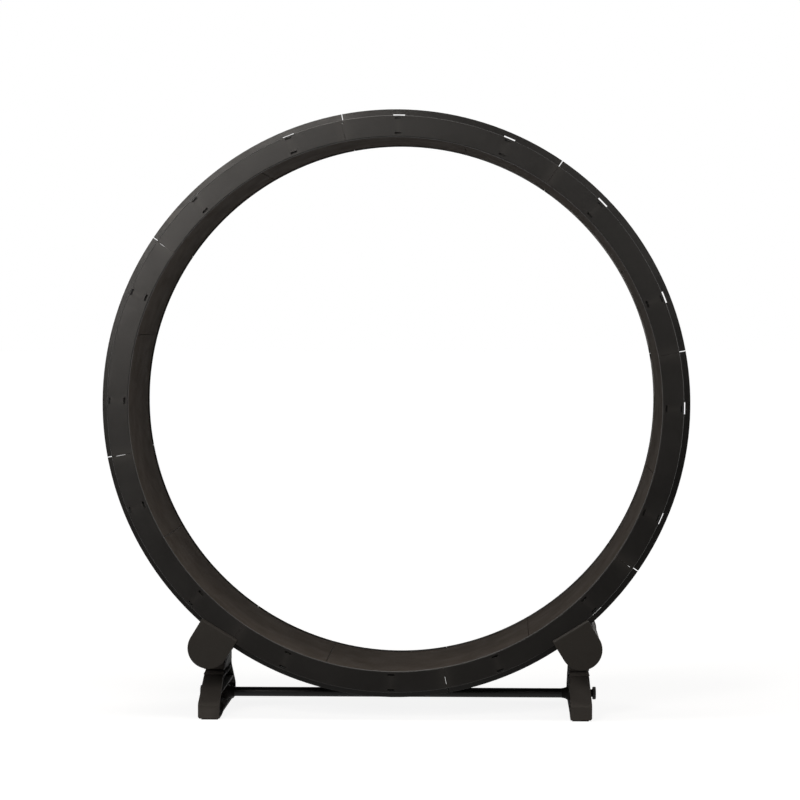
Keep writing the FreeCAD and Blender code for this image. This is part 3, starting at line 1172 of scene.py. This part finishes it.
@dataclass
class Rollers:
    """The rollers and the shafts that carry them.

    Attributes:
        face_y: The rim faces, from the middle of the wheel.
        radius: Outside of a roller.
        bore: Its bore.
        hub: Outside of its hub.
        dish: Depth of the dished sides between hub and rim.
        rim: Inside of its rim.
        shoulder: Radius of the rounded shoulders.
        edge: Radius of the other edges.
        setback: Outer side of a roller behind the rim face.
        width: Width of a roller.
        steps: Sections round a roller.
        edge_steps: Straight pieces in each rounded edge.
        shaft_edge: Width of the shafts' broken edges.
    """

    face_y: float
    radius: float = 0.028
    bore: float = 0.00502
    hub: float = 0.010
    dish: float = 0.003
    rim: float = 0.022
    shoulder: float = 0.0015
    edge: float = 0.0005
    setback: float = 0.012
    width: float = 0.024
    steps: int = 64
    edge_steps: int = 3
    shaft_edge: float = 0.0006

    def outline(self, front: float) -> list[Point]:
        """The (radius, y) outline of a dished roller.

        Args:
            front: y of its outer side.

        Returns:
            The outline's points.
        """
        back = front + self.width
        half = [
            (self.bore, 0.0, 0.0),
            (self.hub, 0.0, self.edge),
            (self.hub, self.dish, self.edge),
            (self.rim, self.dish, self.edge),
            (self.rim, 0.0, self.edge),
            (self.radius, 0.0, self.shoulder),
        ]
        near = [(radius, front + inset, edge) for radius, inset, edge in half]
        far = [(radius, back - inset, edge) for radius, inset, edge in half[::-1]]
        return rounded(near + far, self.edge_steps)

    def build(self, frame: dict, finishes: Finishes) -> list[bpy.types.Object]:
        """Make the rollers and the shafts of both stands.

        Args:
            finishes: The materials.

        Returns:
            The pieces made.
        """
        made = []
        for side in ("right", "left"):
            low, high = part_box(f"{side}_roller_shaft")
            centre = (low + high) / 2
            shape = bmesh.new()
            front = -self.face_y + self.setback
            for start in (front, -front - self.width):
                add_ring(shape, self.outline(start), 0.0, TURN, self.steps)
            bmesh.ops.translate(shape, verts=shape.verts, vec=(centre.x, 0.0, centre.z))
            pair = object_from(f"{side}_roller_pair", shape)
            pair.data.shade_smooth()
            finishes.dress(pair, Slot.ROLLER)
            assign(pair, f"{side}_roller", f"{side}_rollers")
            shaft = copy_of_node(frame, f"{side}_roller_shaft", f"{side}_shaft")
            soften(shaft, self.shaft_edge)
            finishes.dress(shaft, Slot.SHAFT)
            assign(shaft, f"{side}_roller", f"{side}_roller_shaft")
            made += [pair, shaft]
        return made


@dataclass
class Knob:
    """A lobed knob at the end of the tie bar.

    Attributes:
        neck_r: Radius of the neck.
        head_r: Radius of the head over its lobes.
        neck: Length of the neck.
        head: Thickness of the head.
        bore: Radius of the blind bore.
        bore_depth: Depth of the bore.
        lobes: How many lobes the head has.
        lobe_depth: How deep the grips between them are.
        cove: Stations from neck to head: distance before the head, and height over the neck.
        back_edge: The head's edge at the neck: distance into the head, and how far it is down.
        front_edge: Its outer edge: distance before the end, and how far it is down.
        recess_r: Outside and bottom radius of the end's recess, as shares of the head's.
        recess_depth: Depth of that recess.
        steps: Points round the knob.
    """

    neck_r: float = 0.0065
    head_r: float = 0.011
    neck: float = 0.005
    head: float = 0.006
    bore: float = 0.00405
    bore_depth: float = 0.008
    lobes: int = 8
    lobe_depth: float = 0.0008
    cove: tuple[Point, ...] = ((0.0012, 0.0), (0.0003, 0.0006), (0.0, 0.0014))
    back_edge: tuple[Point, ...] = ((0.0, 0.0008), (0.0003, 0.0002), (0.0008, 0.0))
    front_edge: tuple[Point, ...] = ((0.0012, 0.0), (0.0004, 0.0004), (0.0, 0.0012))
    recess_r: Point = (0.55, 0.5)
    recess_depth: float = 0.0006
    steps: int = 96

    def profile(self) -> list[tuple[float, float, bool]]:
        """Stations along the knob: distance from the leg, radius and whether it is lobed."""
        start = self.neck
        end = start + self.head
        wide, narrow = (share * self.head_r for share in self.recess_r)
        stations = [(self.bore_depth, self.bore, False), (0.0, self.bore, False),
                    (0.0, self.neck_r, False)]
        stations += [(start - back, self.neck_r + rise, False) for back, rise in self.cove]
        stations += [(start + along, self.head_r - down, True) for along, down in self.back_edge]
        stations += [(end - back, self.head_r - down, True) for back, down in self.front_edge]
        return stations + [(end, wide, False), (end - self.recess_depth, narrow, False)]

    def add(self, shape: bmesh.types.BMesh, seat: Vector, side: float) -> None:
        """Add the knob to a bmesh.

        Args:
            shape: The bmesh that is added to.
            seat: Middle of the face that it is screwed against.
            side: +1 for the right end, -1 for the left.
        """
        loops = []
        for along, radius, lobed in self.profile():
            loop = []
            for index in range(self.steps):
                angle = 2 * math.pi * index / self.steps
                dip = self.lobe_depth * max(0.0, -math.cos(self.lobes * angle)) if lobed else 0.0
                reach = radius - dip
                loop.append(shape.verts.new(seat + Vector((
                    side * along, reach * math.cos(angle), reach * math.sin(angle)))))
            loops.append(loop)
        for first, second in zip(loops, loops[1:]):
            for index in range(self.steps):
                following = (index + 1) % self.steps
                shape.faces.new((first[index], first[following], second[following],
                                 second[index]))
        shape.faces.new(loops[0])
        shape.faces.new(loops[-1][::-1])


@dataclass
class Stands:
    """The two stands with their covers, pads and tie bar.

    Attributes:
        tie_z: Height of the tie bar.
        stand_edge: Width of the stands' broken edges.
        cover_edge: Width of the covers' broken edges.
        pad_edge: Width of the pads' broken edges.
        tie_edge: Width of the broken edges of the tie bar's tube and rod.
        hub_edge: Width of the hub's broken edges.
        hub_bend: Edges of the hub sharper than this, in degrees, are broken.
        hub_proud: How far the tie bar's hub stands out of the leg.
        hub_foot: Radius of the flared hub at the leg.
        hub_tip: Radius of its end.
        hub_hollow: How strongly the flare is drawn in, 1 for a plain cone.
        hub_root: How deep the flare reaches into the leg.
        hub_steps: Sections round the hub.
        flare_steps: Rings along its flare.
        rod_r: Radius of the rod's bore.
        arch_half: Half the length of the arch's level stretch.
        arch_top: Height below which the arch and the wall over it lie.
        arch_drop: How far they come down.
        collar_foot: Height of the neck's collar at its lower edge.
        collar_head: Height of its upper edge.
        collar_lean: How far the upper edge leans in.
        knob: The knob at each end of the tie bar.
    """

    tie_z: float = 0.0284
    stand_edge: float = 0.0009
    cover_edge: float = 0.0009
    pad_edge: float = 0.0004
    tie_edge: float = 0.0003
    hub_edge: float = 0.0005
    hub_bend: float = 50.0
    hub_proud: float = 0.012
    hub_foot: float = 0.0135
    hub_tip: float = 0.0086
    hub_hollow: float = 2.2
    hub_root: float = 0.006
    hub_steps: int = 64
    flare_steps: int = 10
    rod_r: float = 0.0043
    arch_half: float = 0.078
    arch_top: float = 0.015
    arch_drop: float = 0.006
    collar_foot: float = 0.0679
    collar_head: float = 0.0769
    collar_lean: float = 0.004
    knob: Knob = field(default_factory=Knob)

    def hub_ring(self, name: str, side: float, outline: list[Point]) -> bpy.types.Object:
        """Turn an outline about the tie bar.

        Args:
            name: Name of the object.
            side: +1 for the right stand, -1 for the left.
            outline: Closed outline: radius, and distance from the leg towards the middle.

        Returns:
            The turned piece.
        """
        leg_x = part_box("tie_tube")[1].x + self.hub_proud
        shape = bmesh.new()
        add_ring(shape, outline, 0.0, TURN, self.hub_steps)
        for vertex in shape.verts:
            across, along, up = vertex.co
            vertex.co = (side * (leg_x - along), across, self.tie_z + up)
        return object_from(name, shape)

    def reshape(self, mesh: bpy.types.Mesh) -> None:
        """Flatten a leg's arch, and lean the collar round its neck in under the cradle.

        Args:
            mesh: The stand's mesh.
        """
        neck = [vertex.co for vertex in mesh.vertices
                if abs(vertex.co.z - self.collar_foot) < NEAR]
        wide = max(abs(place.x) for place in neck) - NEAR
        deep = max(abs(place.y) for place in neck) - NEAR
        for vertex in mesh.vertices:
            place = vertex.co
            if abs(place.y) < self.arch_half + NEAR and place.z < self.arch_top + NEAR:
                place.z -= self.arch_drop
            if abs(place.z - self.collar_head) < NEAR:
                if abs(place.x) > wide:
                    place.x -= math.copysign(self.collar_lean, place.x)
                if abs(place.y) > deep:
                    place.y -= math.copysign(self.collar_lean, place.y)

    def hub(self, side: float) -> bpy.types.Object:
        """Make the flared hub that holds the end of the tie bar.

        Args:
            side: +1 for the right stand, -1 for the left.

        Returns:
            The hub.
        """
        flare = [(self.rod_r, -self.hub_root), (self.hub_foot, -self.hub_root)]
        for step in range(self.flare_steps + 1):
            share = step / self.flare_steps
            reach = (self.hub_foot - self.hub_tip) * (1 - share) ** self.hub_hollow
            flare.append((self.hub_tip + reach, self.hub_proud * share))
        flare.append((self.rod_r, self.hub_proud))
        return soften(self.hub_ring("hub", side, flare), self.hub_edge, angle=self.hub_bend)

    def stand(self, frame: dict, finishes: Finishes, name: str, side: float) -> bpy.types.Object:
        """Make a stand with broken edges and a flared hub for the tie bar.

        Args:
            finishes: The materials.
            name: The stand's node.
            side: +1 for the right stand, -1 for the left.

        Returns:
            The piece.
        """
        piece = copy_of_node(frame, name, name + "_shell")
        self.reshape(piece.data)
        cut(piece, self.hub_ring("hub_cutter", side, [
            (self.rod_r, 0.0), (self.hub_foot, 0.0), (self.hub_foot, self.hub_proud + OVER),
            (self.rod_r, self.hub_proud + OVER)]))
        soften(piece, self.stand_edge, 3)
        join(piece, self.hub(side))
        finishes.dress(piece, Slot.STAND)
        assign(piece, "base", name)
        return piece

    def dressed_copy(self, frame: dict, finishes: Finishes, node: str, name: str, slot: Slot,
                     edge: float) -> bpy.types.Object:
        """Copy a node, break its edges and let the copy stand for it.

        Args:
            finishes: The materials.
            node: The node's name.
            name: Name of the piece.
            slot: The record's slot.
            edge: Width of the broken edges.

        Returns:
            The piece.
        """
        piece = soften(copy_of_node(frame, node, name), edge, 3)
        finishes.dress(piece, slot)
        assign(piece, "base", node)
        return piece

    def knobs(self, finishes: Finishes) -> bpy.types.Object:
        """Make both knobs.

        Args:
            finishes: The materials.

        Returns:
            The piece that holds both.
        """
        seat_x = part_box("tie_knobs")[1].x - self.knob.neck - self.knob.head
        shape = bmesh.new()
        for side in (1.0, -1.0):
            self.knob.add(shape, Vector((side * seat_x, 0.0, self.tie_z)), side)
        piece = object_from("knobs", shape)
        piece.data.shade_smooth()
        finishes.dress(piece, Slot.KNOB)
        assign(piece, "base", "tie_knobs")
        return piece

    def build(self, frame: dict, finishes: Finishes) -> list[bpy.types.Object]:
        """Make the stands and all that is fixed to them.

        Args:
            finishes: The materials.

        Returns:
            The pieces made.
        """
        rows = (
            ("roller_covers", "covers", Slot.COVER, self.cover_edge),
            ("foot_pads", "pads", Slot.PAD, self.pad_edge),
            ("tie_tube", "spacer_tube", Slot.TIE_TUBE, self.tie_edge),
            ("tie_rod", "rod", Slot.SHAFT, self.tie_edge),
        )
        made = [self.stand(frame, finishes, f"{name}_stand", side)
                for name, side in (("right", 1.0), ("left", -1.0))]
        made += [self.dressed_copy(frame, finishes, *row) for row in rows]
        return made + [self.knobs(finishes)]


# ---------------------------------------------------------------------------------------------
# The studio
# ---------------------------------------------------------------------------------------------


@dataclass(frozen=True)
class Softbox:
    """One area light.

    Attributes:
        name: Name of the light.
        place: Where it hangs.
        target: What it points at.
        size: Its width and height.
        power: Its power in watts.
        colour: Its colour.
    """

    name: str
    place: tuple[float, float, float]
    target: tuple[float, float, float]
    size: Point
    power: float
    colour: Colour = WARM

    def hang(self) -> None:
        """Add the light to the scene."""
        light = bpy.data.lights.new(self.name, "AREA")
        light.shape = "RECTANGLE"
        light.size, light.size_y = self.size
        light.energy = self.power
        light.color = self.colour
        lamp = bpy.data.objects.new(self.name, light)
        lamp.location = self.place
        aim = Vector(self.target) - Vector(self.place)
        lamp.rotation_euler = aim.to_track_quat("-Z", "Y").to_euler()
        bpy.context.scene.collection.objects.link(lamp)


@dataclass
class Studio:
    """The camera, the lights, the pale floor and the white backdrop.

    Attributes:
        camera_place: Where the camera stands.
        camera_target: What it points at.
        lens: Focal length in millimetres.
        sensor: Width of the camera's film in millimetres.
        sight: How far the camera sees.
        floor_half: Half the side of the floor.
        floor_colour: Lightness of the floor, which takes the object's shadow.
        floor_roughness: Roughness of the floor.
        floor_glow: The floor's own light for the eye, under the object and far from it.
        glow_reach: Distances at which that light begins and ends to rise.
        front_reach: y at which the floor in front has faded out, and where it begins to.
        room_light: Strength of the room on rough surfaces.
        room_front: Strength of the room in front of the object, in reflections.
        backdrop_reach: How far towards the back, from -1 to 1, the white backdrop begins in
            reflections and where it is full.
        lights: The softboxes.
    """

    camera_place: tuple[float, float, float] = (0.1780, -4.935, 0.6981)
    camera_target: tuple[float, float, float] = (0.0092, -0.150, 0.5430)
    lens: float = 127.9
    sensor: float = 36.0
    sight: float = 200.0
    floor_half: float = 40.0
    floor_colour: float = 0.4
    floor_roughness: float = 0.9
    floor_glow: Point = (0.88, 1.0)
    glow_reach: Point = (0.7, 3.0)
    front_reach: Point = (-0.35, 0.5)
    room_light: float = 0.03
    room_front: float = 0.02
    backdrop_reach: Point = (-0.35, 0.25)
    lights: tuple[Softbox, ...] = (
        Softbox("key", (-0.55, -2.1, 1.5), (-0.1, 0.0, 0.53), (0.6, 0.5), 8.6),
        Softbox("key_side", (-0.95, -2.1, 0.95), (-0.2, 0.0, 0.53), (0.6, 0.5), 6.8),
        Softbox("fill", (0.8, -2.1, 1.15), (0.2, 0.0, 0.53), (0.7, 0.9), 2.8),
        Softbox("top", (-0.45, -0.45, 2.6), (-0.3, -0.1, 0.0), (0.9, 0.6), 12.0),
        Softbox("back", (0.0, 1.2, 2.4), (0.0, 0.0, 0.6), (1.4, 0.7), 6.0),
        Softbox("side", (2.4, -0.5, 1.0), (0.0, 0.0, 0.6), (0.5, 1.4), 10.0),
    )

    def camera(self) -> None:
        """Set up the camera."""
        data = bpy.data.cameras.new("camera")
        data.lens = self.lens
        data.sensor_width = self.sensor
        data.clip_end = self.sight
        camera = bpy.data.objects.new("camera", data)
        camera.location = self.camera_place
        aim = Vector(self.camera_target) - Vector(self.camera_place)
        camera.rotation_euler = aim.to_track_quat("-Z", "Y").to_euler()
        bpy.context.scene.collection.objects.link(camera)
        bpy.context.scene.camera = camera

    @staticmethod
    def background_rays(graph: NodeGraph) -> bpy.types.NodeSocket:
        """Tell the rays that see the background as it is: the eye's, mirrors' and glass's.

        Args:
            graph: The tree that is added to.

        Returns:
            An output that is 1 for those rays and 0 for all others.
        """
        path = graph.add("ShaderNodeLightPath")
        total = path.outputs["Is Camera Ray"]
        for name in ("Is Glossy Ray", "Is Transmission Ray"):
            total = graph.combine("MAXIMUM", total, path.outputs[name])
        return total

    def floor(self) -> None:
        """Lay the pale floor, which glows for the eye and keeps the object's shadow."""
        shape = bmesh.new()
        half = self.floor_half
        shape.faces.new([shape.verts.new((x, y, 0.0)) for x, y in (
            (-half, -half), (half, -half), (half, half), (-half, half))])
        mesh = bpy.data.meshes.new("floor")
        shape.to_mesh(mesh)
        shape.free()
        floor = bpy.data.objects.new("floor", mesh)
        bpy.context.scene.collection.objects.link(floor)
        paint = Paint("floor")
        paint.set("Base Color", (self.floor_colour,) * 3)
        paint.set("Roughness", self.floor_roughness)
        paint.set("Specular IOR Level", 0.0)
        paint.set("Emission Color", WHITE)
        away = paint.add("ShaderNodeVectorMath", operation="LENGTH")
        paint.link(paint.place, away.inputs[0])
        glow = paint.remap(away.outputs["Value"], *self.glow_reach, *self.floor_glow)
        parts = paint.add("ShaderNodeSeparateXYZ")
        paint.feed(parts, "Vector", paint.place)
        lit = paint.remap(parts.outputs["Y"], *self.front_reach, self.room_front, 1.0)
        mirrored = paint.combine("MULTIPLY", self.background_rays(paint), lit)
        eye = paint.add("ShaderNodeLightPath").outputs["Is Camera Ray"]
        shown = paint.combine("MAXIMUM", eye, mirrored)
        paint.set("Emission Strength", paint.combine("MULTIPLY", glow, shown))
        mesh.materials.append(paint.material)

    def surround(self) -> None:
        """Make the world: a white backdrop behind the object, and a dim room for its light."""
        world = bpy.data.worlds.new("surround")
        world.use_nodes = True
        bpy.context.scene.world = world
        graph = NodeGraph(world.node_tree)
        background = world.node_tree.nodes["Background"]
        graph.feed(background, "Color", WHITE)
        parts = graph.add("ShaderNodeSeparateXYZ")
        graph.feed(parts, "Vector", graph.add("ShaderNodeTexCoord").outputs["Generated"])
        backdrop = graph.remap(parts.outputs["Y"], *self.backdrop_reach, self.room_front, 1.0)
        mix = graph.add("ShaderNodeMix", data_type="FLOAT")
        graph.link(self.background_rays(graph), mix.inputs["Factor"])
        for slot, value in zip(graph.MIX_VALUES, (self.room_light, backdrop)):
            graph.feed(mix, slot, value)
        graph.feed(background, "Strength", mix.outputs[graph.MIX_VALUE])

    def build(self) -> None:
        """Set up all of it."""
        bpy.context.scene.view_settings.view_transform = "Standard"
        self.camera()
        self.floor()
        self.surround()
        for light in self.lights:
            light.hang()


def main() -> None:
    """Build the looks round the frame."""
    logging.basicConfig(level=logging.INFO, format="%(name)s: %(message)s")
    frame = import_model()
    rim_low, rim_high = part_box("front_rim_segments")
    sizes = WheelSizes(
        axis_z=(rim_low.z + rim_high.z) / 2,
        outer_r=(rim_high.z - rim_low.z) / 2,
        face_y=-rim_low.y,
    )
    finishes = Finishes()
    pieces = Rims(sizes).build(finishes)
    pieces += Track(sizes).build(finishes)
    pieces += Rollers(sizes.face_y).build(frame, finishes)
    pieces += Stands().build(frame, finishes)
    for piece in pieces:
        LOG.info("%s: %d faces", piece.name, len(piece.data.polygons))
    Studio().build()


if __name__ == "__main__":
    main()
